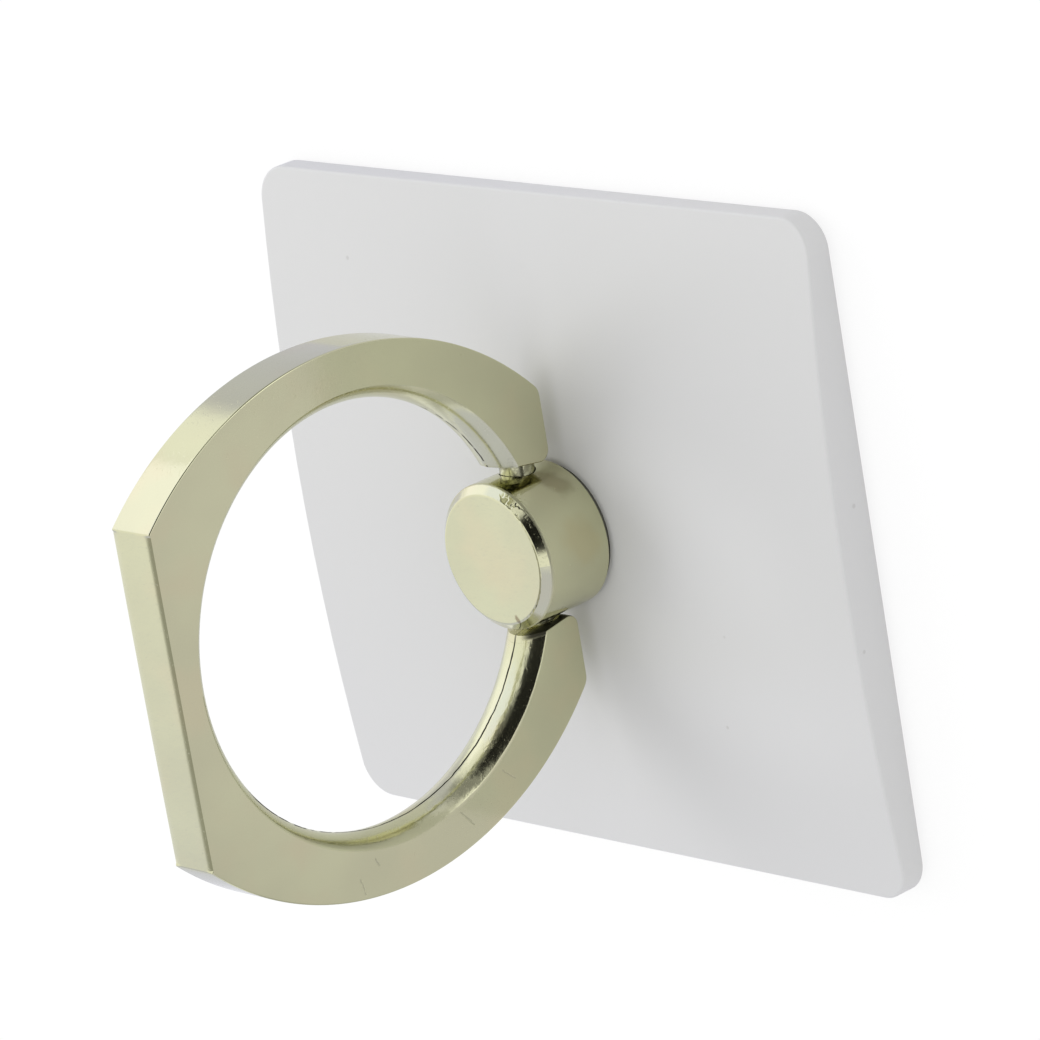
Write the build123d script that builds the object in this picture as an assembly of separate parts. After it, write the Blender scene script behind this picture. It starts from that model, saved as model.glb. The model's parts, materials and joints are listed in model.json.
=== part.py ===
from build123d import *
import math
import os

# A stick-on phone ring holder: a white plate, a knob that turns on it, and a finger ring that folds on the
# knob. The origin is the middle of the adhesive's rear face. +Z points out through the knob, Y runs along the
# ring's hinge pins and X across the plate. At rest the ring stands square to the plate. Sizes are in mm.

# Adhesive pad
pad_thickness = 0.4
pad_inset = 0.8  # from the plate's edge to the pad's edge

# Base plate
plate_width = 40.0  # along X
plate_height = 35.2  # along Y
plate_corner_radius = 1.8
plate_edge_thickness = 1.3  # along the two edges that the arch runs down to
plate_middle_thickness = 2.35  # along the arch's top line
plate_front_round = 0.15
plate_back_bevel = 0.06

# Turning joint through the plate
washer_seat_depth = 0.1  # flat seat cut into the arched front
shoulder_radius = 1.4
turning_clearance = 0.05  # radial, round the screw's shoulder
front_washer_radius = 3.55
front_washer_thickness = 0.35
rear_washer_radius = 2.9
rear_washer_thickness = 0.3
counterbore_clearance = 0.2  # radial, round the rear washer
spring_step = 0.2  # the spring is this much smaller in radius than the rear washer
spring_sheet = 0.18
spring_rise = 0.12  # height of the cone between its inner and outer edge
screw_head_radius = 2.2
screw_head_thickness = 0.55
screw_head_clearance = 0.1  # from the adhesive to the screw's head
screw_slot_width = 0.5
screw_slot_depth = 0.25
thread_radius = 1.0
thread_length = 2.6
thread_clearance = 0.02
thread_runout = 0.3  # bore left past the end of the screw
screw_tip_bevel = 0.2

# Knob
knob_radius = 3.88
knob_height = 4.53
knob_rim_bevel = 0.45
knob_edge_round = 0.16
knob_foot_bevel = 0.12

# Hinge in the knob
hinge_above_foot = 1.9
pin_radius = 0.9
pin_clearance = 0.05  # radial, pin in its bore
pin_tip_bevel = 0.2
pin_tip_clearance = 0.25  # pin tip to the floor of its bore
pin_root = 0.8  # how far the pin's bar reaches into the ring's end
pin_bore_wall = 0.6  # knob left between the screw's bore and the floor of a pin's bore

# Finger ring
ring_thickness = 2.8
hole_radius = 10.8  # at the crest of the rounded inside
hole_flare = 0.73  # how much wider the hole is at the side faces
hole_above_hinge = 0.94  # from the hinge to the nearest point of the hole's circle
ring_side_wall = 3.0  # from the hole's crest to the outside where the ring is widest
ring_far_wall = 2.19  # from the hole's crest to the far flat
ring_side_radius = 17.75  # each of the two curved sides
ring_side_shift = 0.48  # the curved sides are widest this far past the middle of the hole
ring_near_flat = 1.1  # from the hinge back to the flat beside the plate
ring_end_gap = 0.31  # ring end to knob, at the hinge
ring_end_slant = 9.0  # degrees, the ends open outwards
ring_end_round = 0.6
ring_near_round = 0.9
ring_far_round = 0.25
ring_edge_bevel = 0.15  # along the outer edges and the ends
ring_float = 0.2  # the ring lies this far along its pins towards +Y

# How far a cutting shape runs past the surface it opens
overcut = 1.0

# Levels along Z
plate_back = pad_thickness
plate_front_edge = plate_back + plate_edge_thickness
plate_front_middle = plate_back + plate_middle_thickness
washer_seat = plate_front_middle - washer_seat_depth
knob_foot = washer_seat + front_washer_thickness
knob_top = knob_foot + knob_height
hinge_level = knob_foot + hinge_above_foot
screw_head_level = plate_back + screw_head_clearance
spring_level = screw_head_level + screw_head_thickness
rear_washer_level = spring_level + spring_rise + spring_sheet
counterbore_floor = rear_washer_level + rear_washer_thickness

# Places in the ring's side view, from the hinge
hole_centre = hole_radius + hole_above_hinge
ring_half_width = hole_radius + ring_side_wall
ring_far_flat = hole_centre + hole_radius + ring_far_wall
ring_side_centre = hole_centre + ring_side_shift

# Radii that follow
counterbore_radius = rear_washer_radius + counterbore_clearance
spring_radius = rear_washer_radius - spring_step
shoulder_hole_radius = shoulder_radius + turning_clearance
thread_bore_radius = thread_radius + thread_clearance
pin_bore_radius = pin_radius + pin_clearance
pin_bore_floor = thread_bore_radius + pin_bore_wall


def rounded_block(width, height, radius, bottom, top):
    outline = RectangleRounded(width, height, radius)
    return Pos(0, 0, bottom) * extrude(outline, top - bottom)


def disc(radius, bottom, top):
    return Pos(0, 0, bottom) * Cylinder(radius, top - bottom, align=(Align.CENTER, Align.CENTER, Align.MIN))


def turned(points):
    """A solid of revolution about Z from a closed outline of (radius, level) points."""
    outline = make_face(Polyline(*[(radius, 0, level) for radius, level in points], close=True))
    return revolve(outline, Axis.Z, 360)


def along_hinge(radius, start, end):
    """A round bar on the hinge axis between two places along Y."""
    bar = Cylinder(radius, end - start, align=(Align.CENTER, Align.CENTER, Align.MIN))
    return Pos(0, start, hinge_level) * Rot(-90, 0, 0) * bar


def make_adhesive_pad():
    return rounded_block(
        plate_width - 2 * pad_inset,
        plate_height - 2 * pad_inset,
        plate_corner_radius - pad_inset,
        0,
        pad_thickness,
    )


def make_base_plate():
    half = plate_height / 2
    back = Line((0, -half, plate_back), (0, half, plate_back))
    upper = Line((0, half, plate_back), (0, half, plate_front_edge))
    crest = (0, 0, plate_front_middle)
    arch = ThreePointArc((0, half, plate_front_edge), crest, (0, -half, plate_front_edge))
    lower = Line((0, -half, plate_front_edge), (0, -half, plate_back))
    section = make_face([back, upper, arch, lower])
    arched_bar = extrude(section, plate_width / 2, dir=(1, 0, 0), both=True)
    outline = rounded_block(plate_width, plate_height, plate_corner_radius, plate_back, plate_front_middle)
    plate = arched_bar & outline
    front_edges = plate.faces().sort_by(Axis.Z)[-1].edges()
    plate = fillet(front_edges, plate_front_round)
    back_edges = plate.faces().sort_by(Axis.Z)[0].edges()
    plate = chamfer(back_edges, plate_back_bevel)
    plate -= disc(front_washer_radius + turning_clearance, washer_seat, plate_front_middle + overcut)
    plate -= disc(counterbore_radius, plate_back - overcut, counterbore_floor)
    plate -= disc(shoulder_hole_radius, plate_back, plate_front_middle)
    return plate


def make_washer(radius, bottom, thickness):
    return disc(radius, bottom, bottom + thickness) - disc(shoulder_hole_radius, bottom, bottom + thickness)


def make_disc_spring():
    inner = shoulder_hole_radius
    return turned([
        (inner, spring_level),
        (spring_radius, spring_level + spring_rise),
        (spring_radius, spring_level + spring_rise + spring_sheet),
        (inner, spring_level + spring_sheet),
    ])


def make_pivot_screw():
    tip = knob_foot + thread_length
    screw = turned([
        (0, screw_head_level),
        (screw_head_radius, screw_head_level),
        (screw_head_radius, spring_level),
        (shoulder_radius, spring_level),
        (shoulder_radius, knob_foot),
        (thread_radius, knob_foot),
        (thread_radius, tip - screw_tip_bevel),
        (thread_radius - screw_tip_bevel, tip),
        (0, tip),
    ])
    slot_size = (2 * screw_head_radius, screw_slot_width, screw_slot_depth)
    slot = Box(*slot_size, align=(Align.CENTER, Align.CENTER, Align.MIN))
    return screw - Pos(0, 0, screw_head_level) * slot


def make_swivel_knob():
    knob = turned([
        (0, knob_foot),
        (knob_radius - knob_foot_bevel, knob_foot),
        (knob_radius, knob_foot + knob_foot_bevel),
        (knob_radius, knob_top - knob_rim_bevel),
        (knob_radius - knob_rim_bevel, knob_top),
        (0, knob_top),
    ])
    rim_edges = knob.edges().filter_by(GeomType.CIRCLE).sort_by(Axis.Z)[-2:]
    knob = fillet(rim_edges, knob_edge_round)
    knob -= disc(thread_bore_radius, knob_foot, knob_foot + thread_length + thread_runout)
    for side in (1, -1):
        start, end = sorted((side * pin_bore_floor, side * (knob_radius + overcut)))
        knob -= along_hinge(pin_bore_radius, start, end)
    return knob


def ring_outline():
    """The ring's side view without its hole: hinge at the origin, Y along the hinge, X to the far flat."""
    side_offset = ring_side_radius - ring_half_width
    length = ring_far_flat + ring_near_flat
    between_flats = Pos((ring_far_flat - ring_near_flat) / 2, 0) * Rectangle(length, 2 * ring_side_radius)
    sides = [Pos(ring_side_centre, side * side_offset) * Circle(ring_side_radius) for side in (1, -1)]
    outline = between_flats & sides[0] & sides[1]
    near_corners = outline.vertices().sort_by(Axis.X)[:2]
    outline = fillet(near_corners, ring_near_round)
    far_corners = outline.vertices().sort_by(Axis.X)[-2:]
    outline = fillet(far_corners, ring_far_round)
    slope = math.tan(math.radians(ring_end_slant))
    end_at_hinge = knob_radius + ring_end_gap
    bottom = -(ring_near_flat + overcut)
    mouth = Polygon(
        (bottom, -(end_at_hinge + bottom * slope)),
        (hole_centre, -(end_at_hinge + hole_centre * slope)),
        (hole_centre, end_at_hinge + hole_centre * slope),
        (bottom, end_at_hinge + bottom * slope),
        align=None,
    )
    outline -= mouth
    ends = outline.vertices().group_by(Axis.X)[0].sort_by(lambda corner: abs(corner.Y))
    return fillet(ends[:2], ring_end_round)


def hole_cutter():
    """What the finger hole takes out: a round plug with a waist, so that the ring's inside is rounded."""
    half = ring_thickness / 2
    inside_radius = (half**2 + hole_flare**2) / (2 * hole_flare)
    reach = hole_radius + inside_radius
    plug = Rectangle(reach, ring_thickness + 2 * overcut, align=(Align.MIN, Align.CENTER))
    section = plug - Pos(reach, 0) * Circle(inside_radius)
    through_hole = Plane(origin=(hole_centre, 0, 0), x_dir=(0, 1, 0), z_dir=(1, 0, 0))
    return revolve(through_hole * section, Axis((hole_centre, 0, 0), (0, 0, 1)), 360)


def make_finger_ring():
    blank = extrude(ring_outline(), ring_thickness / 2, both=True)
    faces = blank.faces().sort_by(Axis.Z)
    flat_ring = chamfer(faces[0].edges() + faces[-1].edges(), ring_edge_bevel) - hole_cutter()
    # From the drawing plane to its place: drawn X goes to +Z, drawn Y stays, drawn Z goes to -X.
    upright = Pos(0, ring_float, hinge_level) * Rot(0, -90, 0) * flat_ring
    root = knob_radius + ring_end_gap + pin_root
    tip = pin_bore_floor + pin_tip_clearance
    for side in (1, -1):
        start, end = sorted((side * tip + ring_float, side * root + ring_float))
        pin = along_hinge(pin_radius, start, end)
        tip_edge = pin.edges().filter_by(GeomType.CIRCLE).sort_by(lambda edge: abs(edge.center().Y))[0]
        upright += chamfer(tip_edge, pin_tip_bevel)
    return upright


pieces = {
    "adhesive_pad": make_adhesive_pad(),
    "base_plate": make_base_plate(),
    "front_washer": make_washer(front_washer_radius, washer_seat, front_washer_thickness),
    "rear_washer": make_washer(rear_washer_radius, rear_washer_level, rear_washer_thickness),
    "disc_spring": make_disc_spring(),
    "pivot_screw": make_pivot_screw(),
    "swivel_knob": make_swivel_knob(),
    "finger_ring": make_finger_ring(),
}

os.makedirs("parts", exist_ok=True)
for name, piece in pieces.items():
    export_step(piece, f"parts/{name}.step")
    print(name, round(piece.volume, 3))
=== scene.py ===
import cmath
import json
import math

import bpy
from mathutils import Matrix, Vector, noise


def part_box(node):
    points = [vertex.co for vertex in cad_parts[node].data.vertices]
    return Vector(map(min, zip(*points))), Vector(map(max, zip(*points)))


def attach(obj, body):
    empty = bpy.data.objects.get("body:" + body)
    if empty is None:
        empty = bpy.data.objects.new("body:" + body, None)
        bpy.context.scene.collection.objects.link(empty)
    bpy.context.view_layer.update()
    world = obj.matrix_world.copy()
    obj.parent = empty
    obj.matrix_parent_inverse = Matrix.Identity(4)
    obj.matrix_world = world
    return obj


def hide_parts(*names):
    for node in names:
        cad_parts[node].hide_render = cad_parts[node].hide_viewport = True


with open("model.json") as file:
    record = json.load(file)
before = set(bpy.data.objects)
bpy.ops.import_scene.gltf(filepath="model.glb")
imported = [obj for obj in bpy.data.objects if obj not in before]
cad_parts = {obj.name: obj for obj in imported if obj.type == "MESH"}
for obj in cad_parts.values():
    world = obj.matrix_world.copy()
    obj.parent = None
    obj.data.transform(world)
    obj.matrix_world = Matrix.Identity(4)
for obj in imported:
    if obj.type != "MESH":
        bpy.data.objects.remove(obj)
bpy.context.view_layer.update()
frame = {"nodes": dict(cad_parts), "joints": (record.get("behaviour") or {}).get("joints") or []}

# The looks of a stick-on ring holder: a white plate, a turning knob and a folding finger ring, both in pale
# champagne plating. Lengths are in mm and are turned into metres where a mesh, lamp or camera is made.
mm = 0.001


def in_mm(corner):
    return corner / mm


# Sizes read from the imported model
ring_low, ring_high = (in_mm(corner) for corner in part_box("finger_ring"))
knob_low, knob_high = (in_mm(corner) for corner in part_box("swivel_knob"))
joint_places = {joint["name"]: in_mm(Vector(joint["pos_m"])) for joint in frame["joints"]}
hinge_level = joint_places["ring_flip"].z
ring_middle = (ring_low.y + ring_high.y) / 2  # the ring floats a little along its pins
ring_half_thickness = (ring_high.x - ring_low.x) / 2
ring_half_width = (ring_high.y - ring_low.y) / 2
ring_far_flat = ring_high.z - hinge_level
ring_near_flat = hinge_level - ring_low.z
knob_radius = (knob_high.y - knob_low.y) / 2
knob_top = knob_high.z
knob_bevel = 0.45
knob_disc_radius = 3.45  # the flat disc inside the bevel

# Sizes of the ring in its side view, from the hinge
hole_radius = 10.8
hole_flare = 0.73  # how much wider the hole is at the side faces
hole_mouth = hole_radius + hole_flare  # the hole's radius at the side faces
hole_from_hinge = 0.94
hole_centre = hole_radius + hole_from_hinge
side_radius = 17.75
side_offset = 0.48  # how much further out the side arcs are centred than the hole
side_centre = hole_centre + side_offset
end_gap = 0.31
end_at_hinge = knob_radius + end_gap
end_slant = math.radians(9.0)
end_round = 0.6
near_round = 0.9
far_round = 0.32
far_crown = 0.05  # how much lower the ends of the far flat are than its middle
far_softness = 0.5  # width of the soft fall of the far flat towards the ring's faces
far_fall = 0.09
far_facing = 0.9  # the outline counts as far flat where it faces this much away from the hinge
edge_round = 0.07
hole_lip = 0.05  # width of the small round along the hole's edge
hole_lip_depth = 0.038  # on the lower side; the upper side has none
pin_radius = 0.9
pin_tip = 1.87
pin_root_depth = 0.8  # how far a pin reaches into the ring
pin_root = end_at_hinge + pin_root_depth
pin_tip_bevel = 0.2
pin_collar = 0.09  # length of the plain collar beside the groove
pin_neck = 0.07  # width and depth of the groove where a pin leaves the ring
end_angle = 0.42  # about where the ring's ends meet the hole, in radians from the hinge

# Points along the ring's mesh
end_steps = 8
corner_steps = 8
far_corner_steps = 6
near_flat_points = 10
side_points = 90
far_flat_points = 20
level_steps = 14
edge_steps = 4
pin_turns = 48
angle_share = 0.75  # how far points in the hole follow the outline's angle and not its length

# Casting marks on the ring's inside: angles are in radians from the hinge, heights are from the phone
parting_half_width = 0.05
parting_depth = 0.02
parting_whole = (0.5, 1.8)  # angles between which the line is unbroken on the lower side
parting_dashes = 9.0  # dashes to the radian elsewhere
line_edges = (0.07, 0.03)  # half width of the dark line, soft to full
line_start = (6.5, 7.1)
line_end = (26.5, 25.5)
upper_line_end = (11.0, 10.0)
whole_line_end = (19.5, 17.0)
line_drift_start = 20.5
line_drift = 0.167  # how far the line strays towards +X with each mm of height
thick_line = (20.0, 23.0)
line_thickening = 0.05
inside_waviness = 0.007
smooth_share = 0.35  # waviness of the inside's smooth stretches against its rough one
nick_depth = 0.16
nick_angle = 1.17
nick_spread = 0.2

# Flaws: scratches as (start, end, width), stains and one painted shade as (start, end, width, strength,
# colour)
face_level = ring_half_thickness
ring_scratches = [
    ((face_level, -12.15, 20.64), (face_level, -13.0, 20.49), 0.07),
    ((face_level, -11.5, 19.5), (face_level, -11.9, 19.3), 0.06),
    ((face_level, -11.17, 13.56), (face_level, -12.15, 12.81), 0.06),
    ((face_level, -10.08, 10.38), (face_level, -10.76, 9.69), 0.06),
]
line_black = (0.010, 0.010, 0.006, 1.0)
# A real stain on the pins, dark enough to be partly painted shade
pin_stain_and_shade_brown = (0.045, 0.037, 0.025, 1.0)
# Painted shade for the ring's lower end, under the knob
end_shade_brown = (0.035, 0.032, 0.024, 1.0)
scratch_grey = (0.28, 0.27, 0.20, 1.0)
speck_brown = (0.17, 0.10, 0.04, 1.0)
# Painted shade beside the upper pin, on the knob's side
pin_foot_shade_brown = (0.20, 0.15, 0.07, 1.0)
warm_peach = (0.70, 0.61, 0.40, 1.0)
warm_ochre = (0.58, 0.50, 0.27, 1.0)
knob_stains_and_shade = [
    ((1.1, -2.98, knob_top), (1.2, -3.12, knob_top), 0.2, 0.6, speck_brown),
    # Painted shade: the dark patch beside the upper pin stands in for the pin's shadow and dark reflection
    ((1.2, 3.69, 4.8), (2.3, 3.12, 4.2), 0.9, 0.40, pin_foot_shade_brown),
    ((-0.6, 1.0, knob_top), (0.6, -0.6, knob_top), 2.2, 0.3, warm_peach),
    ((3.8, 0.9, 5.0), (3.8, 0.2, 4.6), 1.4, 0.35, warm_ochre),
]
rim_pits = (1.9, 3.0, knob_top - 0.2)
plate_specks = [
    ((-13.53, 13.15, 2.2), 0.16),
    ((10.79, -4.43, 2.6), 0.14),
    ((9.71, -9.48, 2.4), 0.14),
    ((20.0, 3.07, 1.4), 0.16),
    ((20.0, -4.18, 2.2), 0.14),
]

# Camera, from a fit to the photograph
camera_place = Vector((227.864, 93.423, 202.713))
camera_right = Vector((0.68260, -0.16039, -0.71298))
camera_up = Vector((-0.10775, 0.94287, -0.31527))
camera_back = Vector((0.72281, 0.29202, 0.62632))
camera_lens = 216.785
camera_sensor = 36.0

# Light levels, where 1 is white
room_level = 0.78
key_direction = Vector((-0.74, 0.22, 0.64))
key_distance = 520.0
key_size = 330.0
key_level = 0.18
floor_size = 3000.0
floor_drop = 0.02  # the floor lies this far under the part, so that no two faces coincide
floor_colour = 0.88
floor_lit = 0.70  # how bright the floor's own shading is where no shadow falls
shadow_share = 0.2  # how much of that shading shows

# What the polished metal sees of the room: two plain sides, then soft discs laid over them in turn, each as
# (direction, inner angle, outer angle, colour)
open_side = (1.15, 1.15, 1.18, 1.0)
lower_side = (0.75, 0.76, 0.98, 1.0)
lower_side_limits = (-0.22, -0.46)  # Y of a direction where the lower side begins and is full
unlit = (0.012, 0.012, 0.012, 1.0)
room_discs = [
    ((-0.76, 0.62, 0.12), 14, 36, (1.43, 1.42, 1.58, 1.0)),
    ((-0.43, 0.74, 0.50), 12, 22, (1.20, 1.24, 1.52, 1.0)),
    ((-0.15, -0.30, 0.94), 12, 30, (0.43, 0.43, 0.42, 1.0)),
    ((0.95, -0.28, 0.16), 10, 22, (0.10, 0.10, 0.10, 1.0)),
    ((0.20, 0.97, 0.05), 10, 22, (0.35, 0.35, 0.34, 1.0)),
    ((0.25, 0.87, 0.42), 8, 20, (0.16, 0.16, 0.155, 1.0)),
    ((0.66, 0.45, 0.60), 23, 33, unlit),
    ((0.93, 0.25, 0.25), 14, 24, unlit),
    ((0.45, 0.88, 0.12), 14, 26, unlit),
    ((0.72, 0.66, 0.20), 8, 18, unlit),
]

# What it sees of the floor: bright far off, with soft patches of painted light and shade laid over it in
# turn, each as (middle, inner radius, outer radius, colour)
far_floor = (1.30, 1.30, 1.36, 1.0)
floor_patches = [
    ((33.0, -8.0, 0.0), 22, 62, (0.79, 0.77, 0.84, 1.0)),
    ((-33.0, 35.0, 0.0), 20, 60, (0.68, 0.68, 0.88, 1.0)),
    ((-90.0, -110.0, 0.0), 75, 125, (0.74, 0.75, 0.90, 1.0)),
    ((700.0, 780.0, 0.0), 760, 900, (0.50, 0.50, 0.50, 1.0)),
    ((42.0, 129.0, 0.0), 78, 112, (0.18, 0.18, 0.185, 1.0)),
    ((30.0, -120.0, 0.0), 70, 105, (0.52, 0.52, 0.56, 1.0)),
    ((42.0, 24.0, 0.0), 8, 20, (1.80, 1.80, 1.85, 1.0)),
]


class Value:
    """A shader socket that takes part in Python arithmetic. Each operation adds a Math node."""

    def __init__(self, shader, socket):
        self.shader = shader
        self.socket = socket

    def of(self, output):
        """Another output of the same node."""
        return Value(self.shader, self.socket.node.outputs[output])

    def calculate(self, operation, *values):
        return self.shader.node("ShaderNodeMath", {"operation": operation}, dict(enumerate(values)))

    def __add__(self, other):
        return self.calculate("ADD", self, other)

    def __radd__(self, other):
        return self.calculate("ADD", other, self)

    def __sub__(self, other):
        return self.calculate("SUBTRACT", self, other)

    def __rsub__(self, other):
        return self.calculate("SUBTRACT", other, self)

    def __mul__(self, other):
        return self.calculate("MULTIPLY", self, other)

    def __rmul__(self, other):
        return self.calculate("MULTIPLY", other, self)

    def __pow__(self, other):
        return self.calculate("POWER", self, other)

    def __abs__(self):
        return self.calculate("ABSOLUTE", self)


class Shader:
    """A node tree that is filled through its node method."""

    def __init__(self, tree):
        self.tree = tree
        tree.nodes.clear()

    def node(self, kind, settings=None, sockets=None):
        """Adds a node, sets its settings, then the values or links of its sockets. Gives its first output."""
        made = self.tree.nodes.new(kind)
        for name, setting in (settings or {}).items():
            setattr(made, name, setting)
        for name, value in (sockets or {}).items():
            if isinstance(value, Value):
                self.tree.links.new(value.socket, made.inputs[name])
            else:
                made.inputs[name].default_value = value
        shown = [output for output in made.outputs if output.enabled]
        return Value(self, shown[0]) if shown else None

    def mix(self, factor, first, second):
        """A colour between two colours."""
        return self.node("ShaderNodeMix", {"data_type": "RGBA"}, {0: factor, 6: first, 7: second})

    def vector(self, operation, *values):
        return self.node("ShaderNodeVectorMath", {"operation": operation}, dict(enumerate(values)))

    def place(self):
        """Where a surface point is on the object, in mm."""
        here = self.node("ShaderNodeTexCoord").of("Object")
        return self.vector("MULTIPLY", here, (1 / mm, 1 / mm, 1 / mm))

    def split(self, vector):
        parts = self.node("ShaderNodeSeparateXYZ", None, {"Vector": vector})
        return parts.of("X"), parts.of("Y"), parts.of("Z")

    def noise(self, place, scale, detail=2.0, roughness=0.5, stretch=None):
        """Noise between 0 and 1 with that many grains to the mm."""
        if stretch is not None:
            place = self.vector("MULTIPLY", place, stretch)
        sockets = {"Vector": place, "Scale": scale, "Detail": detail, "Roughness": roughness}
        return self.node("ShaderNodeTexNoise", None, sockets)

    def smooth(self, value, low, high):
        """0 at low, 1 at high and a soft step between."""
        sockets = {"Value": value, "From Min": low, "From Max": high}
        return self.node("ShaderNodeMapRange", {"interpolation_type": "SMOOTHSTEP"}, sockets)

    def spot(self, place, centre, outer, inner=None):
        """1 inside a ball and 0 outside it, with a soft edge."""
        away = self.vector("DISTANCE", place, centre).of("Value")
        return self.smooth(away, outer, 0.4 * outer if inner is None else inner)

    def ragged(self, place, grains, reach):
        """The place moved about by noise, so that a mark drawn there gets ragged edges."""
        sockets = {"Vector": place, "Scale": grains, "Detail": 3.0}
        wander = self.node("ShaderNodeTexNoise", None, sockets).of("Color")
        shift = self.vector("MULTIPLY_ADD", wander, (2 * reach,) * 3, (-reach,) * 3)
        return self.vector("ADD", place, shift)

    def stroke(self, place, start, end, width):
        """1 along a straight line between two places and 0 away from it."""
        length = (Vector(end) - Vector(start)).length
        along = (Vector(end) - Vector(start)) / length
        reach = self.vector("SUBTRACT", place, start)
        share = self.vector("DOT_PRODUCT", reach, along).of("Value")
        share = share.calculate("MINIMUM", share.calculate("MAXIMUM", share, 0.0), length)
        nearest = self.node("ShaderNodeVectorMath", {"operation": "SCALE"}, {0: along, "Scale": share})
        away = self.vector("DISTANCE", reach, nearest).of("Value")
        return self.smooth(away, width, 0.3 * width)

    def bump(self, height, depth, normal=None):
        """Raises the surface by up to that depth in mm."""
        sockets = {"Height": height, "Distance": depth * mm, "Strength": 1.0}
        if normal is not None:
            sockets["Normal"] = normal
        return self.node("ShaderNodeBump", None, sockets)

    def finish(self, sockets):
        """The surface's own shader and the tree's output."""
        surface = self.node("ShaderNodeBsdfPrincipled", None, sockets)
        self.node("ShaderNodeOutputMaterial", None, {"Surface": surface})


def new_material(name):
    material = bpy.data.materials.new(name)
    material.use_nodes = True
    return material, Shader(material.node_tree)


# Finishes


def scratches(shader, place, turn, seed):
    """Fine hairlines that run along X after a turn of the surface about each axis."""
    turned = shader.node(
        "ShaderNodeVectorRotate",
        {"rotation_type": "EULER_XYZ"},
        {"Vector": place, "Rotation": [math.radians(angle) for angle in turn], "Center": (seed, seed, seed)},
    )
    grain = shader.noise(turned, 1.0, 1.0, 0.5, (0.16, 9.0, 9.0))
    return shader.smooth(grain, 0.66, 0.76)


def champagne_plating(name, marks):
    """Pale champagne plating on a polished casting.

    Marks adds the piece's own flaws and some painted shade: it is given the shader, the surface place and the
    colour, and gives back the colour, a roughness and a height."""
    material, shader = new_material(name)
    place = shader.place()
    mottling = shader.smooth(shader.noise(place, 0.11, 3.0), 0.35, 0.65)
    haze = shader.noise(place, 0.9, 4.0, 0.6)
    clouds = shader.noise(place, 0.3, 2.0)
    pale = (0.645, 0.647, 0.420, 1.0)
    olive = (0.585, 0.578, 0.385, 1.0)
    rose = (0.650, 0.605, 0.398, 1.0)
    colour = shader.mix(mottling * 0.8, pale, olive)
    colour = shader.mix(shader.smooth(clouds, 0.48, 0.74) * 0.6, colour, rose)
    hairs = scratches(shader, place, (20, 35, 10), 3.0) + scratches(shader, place, (70, -25, 50), 11.0)
    colour, worn, height = marks(shader, place, colour)
    roughness = 0.07 + haze * 0.09 + hairs * 0.10 + worn
    normal = shader.bump(shader.noise(place, 2.2, 2.0), 0.003)
    normal = shader.bump(1 - hairs, 0.002, normal)
    normal = shader.bump(height, 0.02, normal)
    shader.finish({"Base Color": colour, "Metallic": 1.0, "Roughness": roughness, "Normal": normal})
    return material


def parting_line(shader, place, x, z, lower):
    """The dark line along the middle of the hole: whole on the lower side, in dashes elsewhere."""
    wander = shader.noise(place, 0.7, 4.0, 0.65) * 0.24 - 0.12
    drift = z.calculate("MAXIMUM", z - line_drift_start, 0.0) * line_drift
    thicker = shader.smooth(z, *thick_line) * line_thickening
    line = shader.smooth(abs(x + wander - drift) - thicker, *line_edges)
    dashes = shader.smooth(shader.noise(place, 1.8, 1.0), 0.36, 0.44)
    drawn = lower * shader.smooth(z, *line_start) * shader.smooth(z, *line_end)
    drawn = drawn + (1 - lower) * shader.smooth(z, *upper_line_end)
    whole = lower * shader.smooth(z, *whole_line_end)
    return line * drawn * (1 - (1 - whole) * (1 - dashes))


def on_pins(shader, x, from_hinge, across_hole):
    """1 on the two stub pins, up to where they leave the ring."""
    from_pin = (x * x + from_hinge * from_hinge) ** 0.5 - pin_radius
    into_ring = abs(across_hole) - end_at_hinge
    return shader.smooth(from_pin, 0.08, 0.03) * shader.smooth(into_ring, 0.12, 0.0)


def on_ends(shader, x, from_hinge, across_hole):
    """1 on the ring's slanted ends, near the hinge."""
    into_ring = abs(across_hole) - from_hinge * math.tan(end_slant) - end_at_hinge
    within_faces = shader.smooth(abs(x), ring_half_thickness, ring_half_thickness - 0.03)
    return shader.smooth(into_ring, 0.25, 0.1) * within_faces * shader.smooth(from_hinge, 2.4, 2.0)


def face_scratches(shader, place):
    """The ragged scratches on the ring's face."""
    ragged = shader.ragged(place, 5.0, 0.1)
    scored = shader.stroke(ragged, *ring_scratches[0])
    for scratch in ring_scratches[1:]:
        scored = scored + shader.stroke(ragged, *scratch)
    return scored


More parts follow.
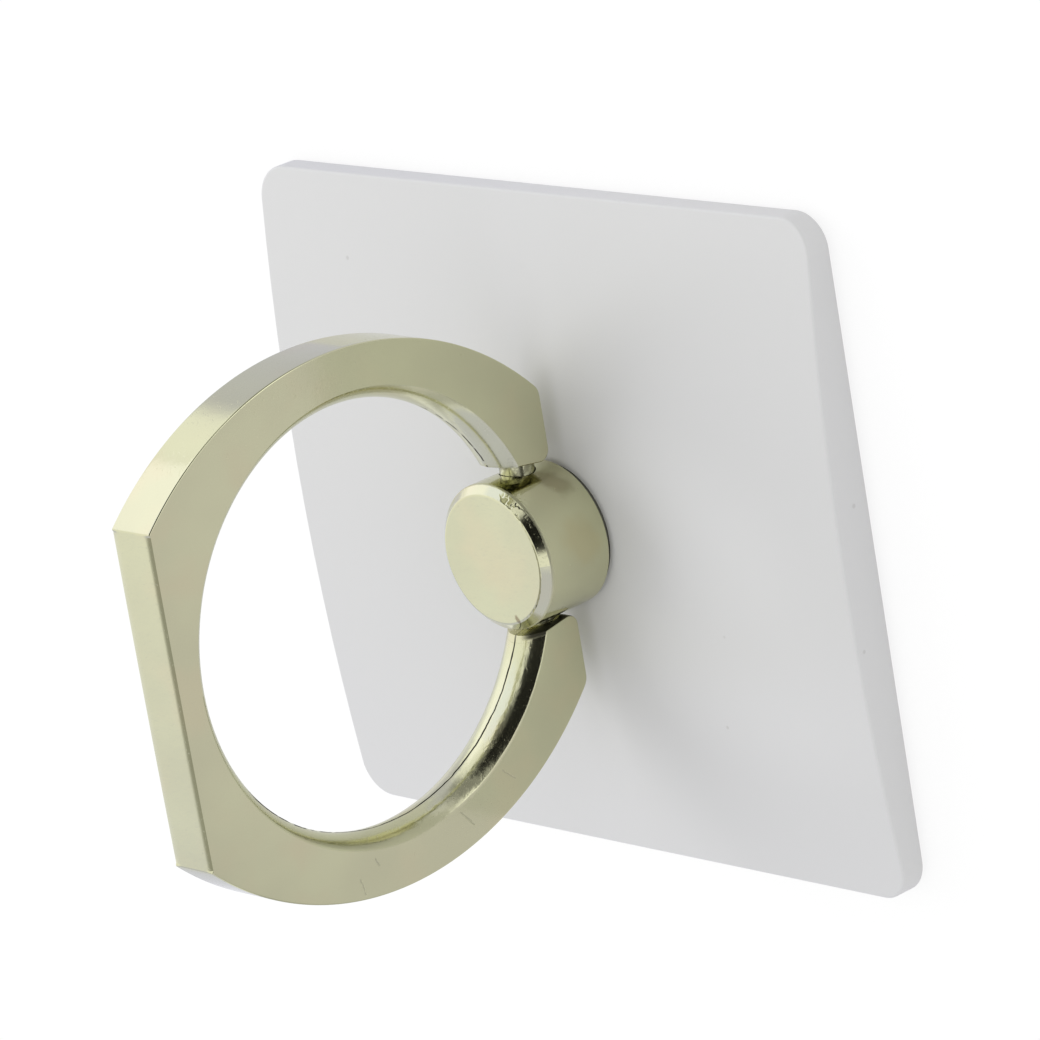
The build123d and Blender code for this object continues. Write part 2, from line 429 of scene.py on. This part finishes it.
def ring_marks(shader, place, colour):
    """The dark parting line in the hole, pins stained and darkened as painted shade, painted shade on the
    lower end, and scratches on the face.
    """
    x, y, z = shader.split(place)
    across_hole = y - ring_middle
    along_hole = z - (hinge_level + hole_centre)
    from_axis = (across_hole * across_hole + along_hole * along_hole) ** 0.5
    from_hinge = z - hinge_level
    in_hole = shader.smooth(from_axis, hole_mouth - 0.03, hole_mouth - 0.13)
    as_cast = shader.smooth(from_axis, hole_mouth + 0.03, hole_mouth - 0.13)
    lower = shader.smooth(y, 1.0, -1.0)
    line = parting_line(shader, place, x, z, lower) * in_hole
    pins = on_pins(shader, x, from_hinge, across_hole)
    # A brown stain on the pins, made dark enough to also stand in as painted shade for their dark reflections
    stain = shader.smooth(shader.noise(place, 1.6, 3.0), 0.38, 0.54) * pins
    ends = on_ends(shader, x, from_hinge, across_hole) * (1 - pins)
    # Painted shade: the lower end's face is darkened towards +X to stand in for its shadow and dark
    # reflection under the knob
    painted_end_shade = ends * lower * shader.smooth(x, 0.2, 0.9)
    scored = face_scratches(shader, place)
    colour = shader.mix(line * 0.95, colour, line_black)
    colour = shader.mix(stain * 0.5, colour, pin_stain_and_shade_brown)
    colour = shader.mix(painted_end_shade * 0.9, colour, end_shade_brown)
    colour = shader.mix(scored * 0.3, colour, scratch_grey)
    grains = shader.smooth(shader.noise(place, 3.4, 3.0, 0.5, (1.0, 0.4, 0.4)), 0.35, 0.7)
    coarse = lower * shader.smooth(z, 20.0, 13.0)
    rough = stain * 0.12 + line * 0.4 + painted_end_shade * 0.4 + as_cast * 0.06
    return colour, rough, grains * as_cast * (0.06 + coarse * 0.2) - scored * 0.6


def knob_marks(shader, place, colour):
    """A brown speck, painted shade beside the upper pin, warm patches, pits on the rim and a worn edge."""
    for start, end, width, strength, tint in knob_stains_and_shade:
        ragged = shader.ragged(place, 1.5 / width, 0.4 * width)
        colour = shader.mix(shader.stroke(ragged, start, end, width) * strength, colour, tint)
    x, y, z = shader.split(place)
    from_axis = (x * x + y * y) ** 0.5
    past_disc = from_axis - z + (knob_top - knob_disc_radius)
    pitted = shader.spot(place, rim_pits, 1.1) * shader.smooth(past_disc, 0.0, 0.15)
    pits = shader.smooth(shader.noise(place, 2.6, 1.0), 0.44, 0.56)
    from_side = from_axis - knob_radius
    from_bevel = z - (knob_top - knob_bevel)
    from_edge = (from_side * from_side + from_bevel * from_bevel) ** 0.5
    worn_edge = shader.smooth(from_edge, 0.11, 0.05)
    return colour, pitted * 0.05 + worn_edge * 0.35, 0 - pitted * pits


def white_moulding(name, specks):
    """White moulded plastic with a soft gloss and a few dark specks."""
    material, shader = new_material(name)
    place = shader.place()
    clouds = shader.noise(place, 0.06, 2.0)
    colour = shader.mix(clouds, (0.795, 0.797, 0.800, 1.0), (0.815, 0.815, 0.812, 1.0))
    speckled = shader.spot(place, *specks[0])
    for speck in specks[1:]:
        speckled = speckled + shader.spot(place, *speck)
    colour = shader.mix(speckled * 0.22, colour, (0.32, 0.30, 0.27, 1.0))
    grain = shader.noise(place, 14.0, 3.0)
    sinks = shader.noise(place, 0.10, 1.0)
    roughness = 0.34 + shader.noise(place, 0.8, 3.0) * 0.10
    normal = shader.bump(sinks, 0.03)
    normal = shader.bump(grain, 0.0015, normal)
    shader.finish({"Base Color": colour, "Roughness": roughness, "Normal": normal})
    return material


def shade_dark_washer_plastic(name):
    """Slippery plastic with faint turned rings, coloured dark as painted shade for the line around the knob's
    foot.
    """
    material, shader = new_material(name)
    place = shader.place()
    x, y = shader.split(place)[:2]
    radius = (x * x + y * y) ** 0.5
    rings = shader.noise(shader.node("ShaderNodeCombineXYZ", None, {"X": radius}), 7.0, 2.0)
    worn = shader.noise(place, 1.5, 3.0)
    # Painted shade: the washer's dark colour stands in for the shadow line at the knob's foot
    colour = shader.mix(worn, (0.125, 0.122, 0.102, 1.0), (0.165, 0.161, 0.135, 1.0))
    roughness = 0.45 + rings * 0.2
    normal = shader.bump(rings, 0.004)
    shader.finish({"Base Color": colour, "Roughness": roughness, "Normal": normal})
    return material


def acrylic_foam(name):
    """Dark grey foam tape with fine closed cells."""
    material, shader = new_material(name)
    place = shader.place()
    cells = shader.node("ShaderNodeTexVoronoi", None, {"Vector": place, "Scale": 5.0, "Randomness": 1.0})
    walls = shader.smooth(cells, 0.0, 0.6)
    smears = shader.noise(place, 0.15, 3.0)
    colour = shader.mix(walls, (0.026, 0.027, 0.029, 1.0), (0.050, 0.051, 0.054, 1.0))
    colour = shader.mix(shader.smooth(smears, 0.5, 0.75) * 0.6, colour, (0.075, 0.076, 0.080, 1.0))
    roughness = 0.42 + smears * 0.25
    normal = shader.bump(walls, 0.03)
    shader.finish({"Base Color": colour, "Roughness": roughness, "Normal": normal})
    return material


def turned_steel(name):
    """Plain steel with the fine rings that a lathe leaves."""
    material, shader = new_material(name)
    place = shader.place()
    x, y, z = shader.split(place)
    radius = (x * x + y * y) ** 0.5
    rings = shader.noise(shader.node("ShaderNodeCombineXYZ", None, {"X": radius, "Y": z}), 12.0, 3.0)
    stain = shader.noise(place, 0.6, 3.0)
    colour = shader.mix(stain, (0.50, 0.50, 0.49, 1.0), (0.60, 0.60, 0.60, 1.0))
    normal = shader.bump(rings, 0.004)
    roughness = 0.25 + rings * 0.2
    shader.finish({"Base Color": colour, "Metallic": 1.0, "Roughness": roughness, "Normal": normal})
    return material


# Finger ring


def straight(start, end, count):
    """Points inside a straight run, ends left out, each with the direction that faces out of the ring."""
    outward = (end - start) / abs(end - start) * -1j
    return [(start + (end - start) * step / (count + 1), outward) for step in range(1, count + 1)]


def rounded(corner, arriving, leaving, radius, steps):
    """Points along a rounded corner between two directions."""
    turn = cmath.phase(leaving / arriving)
    start = corner - arriving * radius * math.tan(turn / 2)
    centre = start + arriving * 1j * radius
    directions = [arriving * -1j * cmath.rect(1, turn * step / steps) for step in range(steps + 1)]
    return [(centre + direction * radius, direction) for direction in directions]


def arc(centre, radius, first, last, count):
    """Points inside an arc between two angles, ends left out."""
    angles = [first + (last - first) * step / (count + 1) for step in range(1, count + 1)]
    return [(centre + cmath.rect(radius, angle), cmath.rect(1, angle)) for angle in angles]


def half_outline():
    """Half of the ring's side view as complex numbers: hinge direction + 1j * distance from the hinge.

    It runs from the round at the ring's end, along the near flat and the curved side, to the middle of the
    far flat. The end's own straight line is left to the caller, because its length depends on the hole."""
    side_middle = complex(ring_half_width - side_radius, side_centre)
    end_direction = -cmath.rect(1, math.pi / 2 - end_slant)
    end_corner = complex(end_at_hinge - math.tan(end_slant) * ring_near_flat, -ring_near_flat)
    near_angle = -math.asin((side_centre + ring_near_flat) / side_radius)
    far_angle = math.asin((ring_far_flat - side_centre) / side_radius)
    near_corner = side_middle + cmath.rect(side_radius, near_angle)
    far_corner = side_middle + cmath.rect(side_radius, far_angle)
    side_start = cmath.rect(1, near_angle + math.pi / 2)
    side_end = cmath.rect(1, far_angle + math.pi / 2)
    end_points = rounded(end_corner, end_direction, 1, end_round, corner_steps)
    near_points = rounded(near_corner, 1, side_start, near_round, corner_steps)
    far_points = rounded(far_corner, side_end, -1, far_round, far_corner_steps)
    side_first = cmath.phase(near_points[-1][0] - side_middle)
    side_last = cmath.phase(far_points[0][0] - side_middle)
    outline = end_points
    outline += straight(end_points[-1][0], near_points[0][0], near_flat_points)
    outline += near_points
    outline += arc(side_middle, side_radius, side_first, side_last, side_points)
    outline += far_points
    outline += straight(far_points[-1][0], complex(0, ring_far_flat), far_flat_points)
    outline.append((complex(0, ring_far_flat), 1j))
    return outline


def ring_levels():
    """Places across the ring's thickness, closer together at the edges and at the parting line."""
    flat = ring_half_thickness - edge_round
    levels = [flat * step / level_steps for step in range(1, level_steps + 1)]
    edge_turns = [math.pi / 2 * step / edge_steps for step in range(1, edge_steps + 1)]
    levels += [flat + edge_round * math.sin(turn) for turn in edge_turns]
    levels += [ring_half_thickness - hole_lip * share for share in (1.0, 0.75, 0.5, 0.25)]
    levels += [parting_half_width * share for share in (0.35, 1.0)]
    levels.sort()
    return [-level for level in reversed(levels)] + [0.0] + levels


def edge_setback(level, point, outward):
    """How far the outline is drawn in at a level: a round along the edges, and the far flat's soft fall."""
    on_far_flat = min(1.0, max(0.0, (outward.imag - far_facing) / (1 - far_facing)))
    past_round = max(0.0, abs(level) - (ring_half_thickness - edge_round))
    rounding = edge_round - math.sqrt(max(0.0, edge_round**2 - past_round**2))
    past_soft = max(0.0, abs(level) - (ring_half_thickness - far_softness)) / far_softness
    fall = far_fall * past_soft**2 + far_crown * (point.real / hole_radius) ** 2
    return rounding + (fall - rounding) * on_far_flat


def parting_strength(angle, side):
    """How deep the parting line is at an angle round the hole: whole on the lower side, broken elsewhere."""
    whole = min(parting_whole[1] - angle, angle - parting_whole[0]) if side < 0 else 0.0
    dashes = noise.noise(Vector((angle * parting_dashes, 1.7 * side, 4.2)))
    return min(1.0, max(0.0, 3.0 * max(whole, dashes)))


def nicks(angle):
    """Depth of the nicks along the hole's lower edge, most of them about one place."""
    worn = math.exp(-(((angle - nick_angle) / nick_spread) ** 2))
    return nick_depth * worn * max(0.0, noise.noise(Vector((angle * 34.0, 0.3, 7.7))) - 0.12)


def inside_radius(level, angle, side):
    """The hole's radius at a level across the ring and an angle from the hinge round to one side."""
    crest_radius = (ring_half_thickness**2 + hole_flare**2) / (2 * hole_flare)
    radius = hole_radius + crest_radius - math.sqrt(crest_radius**2 - level**2)
    rough_share = smooth_share
    if side < 0:
        rough_share = min(1.0, max(smooth_share, 2.9 - 1.3 * angle))
        into_lip = max(0.0, abs(level) - (ring_half_thickness - hole_lip)) / hole_lip
        radius += hole_lip_depth * into_lip**2
        if level > 0:
            radius += nicks(angle) * into_lip
    from_line = max(0.0, 1.0 - abs(level) / parting_half_width)
    radius += parting_depth * from_line * parting_strength(angle, side)
    place = Vector((level * 1.6, side * angle * 14.0, 3.0 * side))
    fine_place = Vector((level * 3.6, side * angle * 22.0, 5.0 * side))
    fade = 1.0 - (abs(level) / ring_half_thickness) ** 4
    waves = noise.noise(place) + 0.55 * noise.noise(fine_place)
    return radius + inside_waviness * rough_share * fade * waves


def half_ring(side):
    """Rows of outer and inner points at each level, from the ring's end to the middle of the far flat."""
    outline = half_outline()
    end_direction = -cmath.rect(1, math.pi / 2 - end_slant)
    end_outward = end_direction * -1j
    middle = complex(0, hole_centre)
    start_angle = cmath.phase((outline[0][0] - middle) * 1j)
    rows = []
    for level in ring_levels():
        outer = []
        for point, outward in outline:
            outer.append((point - outward * edge_setback(level, point, outward), outward))
        # Where the end's line meets the hole at this level
        end = outer[0][0]
        along = ((end - middle) * end_direction.conjugate()).real
        end_radius = inside_radius(level, end_angle, side)
        back = along - math.sqrt(end_radius**2 - abs(end - middle) ** 2 + along**2)
        first = end - end_direction * back
        outer = [(first + (end - first) * step / end_steps, end_outward) for step in range(end_steps)] + outer
        lengths = [0.0]
        for before, after in zip(outer, outer[1:]):
            lengths.append(lengths[-1] + abs(after[0] - before[0]))
        hole_start = cmath.phase((first - middle) * 1j)
        inner = [first]
        for index in range(1, len(outer)):
            turned = cmath.phase((outer[index][0] - middle) * 1j) if index > end_steps else start_angle
            turned = math.pi if index == len(outer) - 1 else turned
            by_angle = (turned - start_angle) / (math.pi - start_angle)
            share = angle_share * by_angle + (1 - angle_share) * lengths[index] / lengths[-1]
            angle = hole_start + (math.pi - hole_start) * share
            inner.append(middle - 1j * cmath.rect(inside_radius(level, angle, side), angle))
        rows.append((level, [point for point, outward in outer], inner))
    return rows


def ring_point(level, flat_point, side):
    return Vector((level, side * flat_point.real + ring_middle, flat_point.imag + hinge_level)) * mm


def add_loop_faces(faces, grid, flip):
    """Quads between neighbouring rows of a grid of vertex numbers."""
    for row, next_row in zip(grid, grid[1:]):
        for index in range(len(row) - 1):
            face = [row[index], row[index + 1], next_row[index + 1], next_row[index]]
            corners = [corner for place, corner in enumerate(face) if corner not in face[:place]]
            if len(corners) > 2:
                faces.append(corners[::-1] if flip else corners)


def add_pin(vertices, faces, side):
    """A round stub pin that reaches from inside the ring's end into the knob."""
    profile = [
        (0.0, pin_tip),
        (pin_radius - pin_tip_bevel, pin_tip),
        (pin_radius, pin_tip + pin_tip_bevel),
        (pin_radius, end_at_hinge - pin_collar),
        (pin_radius, end_at_hinge),
        (pin_radius - pin_neck, end_at_hinge + 0.4 * pin_neck),
        (pin_radius - pin_neck, pin_root),
        (0.0, pin_root),
    ]
    rows = []
    for radius, away in profile:
        row = []
        for turn in range(pin_turns if radius else 1):
            angle = 2 * math.pi * turn / pin_turns
            across = Vector((radius * math.cos(angle), side * away + ring_middle, radius * math.sin(angle)))
            row.append(len(vertices))
            vertices.append((across + Vector((0, 0, hinge_level))) * mm)
        rows.append((row * pin_turns)[:pin_turns] + [row[0]])
    add_loop_faces(faces, rows, side > 0)


def make_finger_ring():
    """The ring with rounded edges, a rounded inside with its parting line, and the two stub pins."""
    vertices = []
    faces = []
    numbers = {}

    def number(point):
        key = tuple(round(value * 1e9) for value in point)
        if key not in numbers:
            numbers[key] = len(vertices)
            vertices.append(point)
        return numbers[key]

    for side in (1, -1):
        outside = []
        inside = []
        for level, outer, inner in half_ring(side):
            outside.append([number(ring_point(level, point, side)) for point in outer])
            inside.append([number(ring_point(level, point, side)) for point in inner])
        add_loop_faces(faces, outside, side < 0)
        add_loop_faces(faces, inside, side > 0)
        add_loop_faces(faces, [outside[0], inside[0]], side > 0)
        add_loop_faces(faces, [outside[-1], inside[-1]], side < 0)
        add_pin(vertices, faces, side)
    mesh = bpy.data.meshes.new("finger_ring_polished")
    mesh.from_pydata(vertices, [], faces)
    mesh.update()
    mesh.set_sharp_from_angle(angle=math.radians(32))
    # The two side faces are plane, so only what curves is shaded smooth
    mesh.polygons.foreach_set("use_smooth", [abs(face.normal.x) < 0.9999 for face in mesh.polygons])
    ring = bpy.data.objects.new("finger_ring_polished", mesh)
    bpy.context.scene.collection.objects.link(ring)
    return ring


# Studio


def add_floor():
    """A plain white floor that keeps a faint shadow. Metal sees it as a glowing sheet with soft patches of
    painted light and shade.
    """
    half = floor_size / 2 * mm
    level = -floor_drop * mm
    corners = [(x, y, level) for x, y in ((-half, -half), (half, -half), (half, half), (-half, half))]
    mesh = bpy.data.meshes.new("studio_floor")
    mesh.from_pydata(corners, [], [(0, 1, 2, 3)])
    floor = bpy.data.objects.new("studio_floor", mesh)
    bpy.context.scene.collection.objects.link(floor)
    material, shader = new_material("white paper sweep")
    rays = shader.node("ShaderNodeLightPath")
    camera = rays.of("Is Camera Ray")
    unseen = (1 - camera) * (1 - rays.of("Is Glossy Ray")) * (1 - rays.of("Is Transmission Ray"))
    place = shader.place()
    reflected = far_floor
    for centre, inner, outer, colour in floor_patches:
        reflected = shader.mix(shader.spot(place, centre, outer, inner), reflected, colour)
    white_level = (1 - shadow_share * floor_lit) / (1 - shadow_share)
    white = (white_level, white_level, white_level, 1.0)
    glow = shader.node("ShaderNodeEmission", None, {"Color": shader.mix(camera, reflected, white)})
    paper_colour = (floor_colour, floor_colour, floor_colour, 1.0)
    paper = shader.node("ShaderNodeBsdfDiffuse", None, {"Color": paper_colour})
    factor = (1 - unseen) * (1 - shadow_share)
    both = shader.node("ShaderNodeMixShader", None, {0: factor, 1: paper, 2: glow})
    shader.node("ShaderNodeOutputMaterial", None, {"Surface": both})
    mesh.materials.append(material)


def add_room():
    """A white room that lights the part at a plain level. Metal also sees its dark side, by the camera."""
    world = bpy.data.worlds.new("studio_room")
    bpy.context.scene.world = world
    world.use_nodes = True
    shader = Shader(world.node_tree)
    rays = shader.node("ShaderNodeLightPath")
    camera = rays.of("Is Camera Ray")
    transmission = rays.of("Is Transmission Ray")
    glossy = rays.of("Is Glossy Ray")
    direction = shader.node("ShaderNodeTexCoord").of("Generated")
    across = shader.split(direction)[1]
    seen = shader.mix(shader.smooth(across, *lower_side_limits), open_side, lower_side)
    for toward, inner, outer, colour in room_discs:
        facing = shader.vector("DOT_PRODUCT", direction, Vector(toward).normalized()).of("Value")
        patch = shader.smooth(facing, math.cos(math.radians(outer)), math.cos(math.radians(inner)))
        seen = shader.mix(patch, seen, colour)
    lit = (room_level, room_level, room_level, 1.0)
    light = shader.mix(glossy, lit, seen)
    plain_white = 1 - (1 - camera) * (1 - transmission)
    light = shader.mix(plain_white, light, (1.0, 1.0, 1.0, 1.0))
    background = shader.node("ShaderNodeBackground", None, {"Color": light, "Strength": 1.0})
    shader.node("ShaderNodeOutputWorld", None, {"Surface": background})


def add_key_lamp():
    """One large soft lamp, to the left of the view."""
    lamp = bpy.data.lights.new("soft_box", "AREA")
    lamp.shape = "DISK"
    lamp.size = key_size * mm
    lamp.energy = key_level * (math.pi * key_distance * mm) ** 2
    lamp_object = bpy.data.objects.new("soft_box", lamp)
    toward = key_direction.normalized()
    turn = toward.to_track_quat("Z", "Y").to_matrix().to_4x4()
    lamp_object.matrix_world = Matrix.Translation(toward * key_distance * mm) @ turn
    lamp_object.visible_glossy = False
    bpy.context.scene.collection.objects.link(lamp_object)


def add_camera():
    camera = bpy.data.cameras.new("photo_camera")
    camera.lens = camera_lens
    camera.sensor_width = camera_sensor
    camera.clip_start = 0.01
    camera_object = bpy.data.objects.new("photo_camera", camera)
    turn = Matrix((camera_right, camera_up, camera_back)).transposed().to_4x4()
    camera_object.matrix_world = Matrix.Translation(camera_place * mm) @ turn
    bpy.context.scene.collection.objects.link(camera_object)
    bpy.context.scene.camera = camera_object


def dress(node, material):
    """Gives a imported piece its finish."""
    slots = frame["nodes"][node].data.materials
    slots.clear()
    slots.append(material)


# The part and its studio

finger_ring = make_finger_ring()
finger_ring.data.materials.append(champagne_plating("ring_plating", ring_marks))
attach(finger_ring, "ring")
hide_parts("finger_ring")

dress("swivel_knob", champagne_plating("knob_plating", knob_marks))
dress("base_plate", white_moulding("plate_moulding", plate_specks))
dress("front_washer", shade_dark_washer_plastic("washer_plastic"))
dress("adhesive_pad", acrylic_foam("adhesive_foam"))
steel = turned_steel("turned_steel")
for hidden_piece in ("rear_washer", "disc_spring", "pivot_screw"):
    dress(hidden_piece, steel)

add_floor()
add_room()
add_key_lamp()
add_camera()
bpy.context.scene.view_settings.view_transform = "Standard"
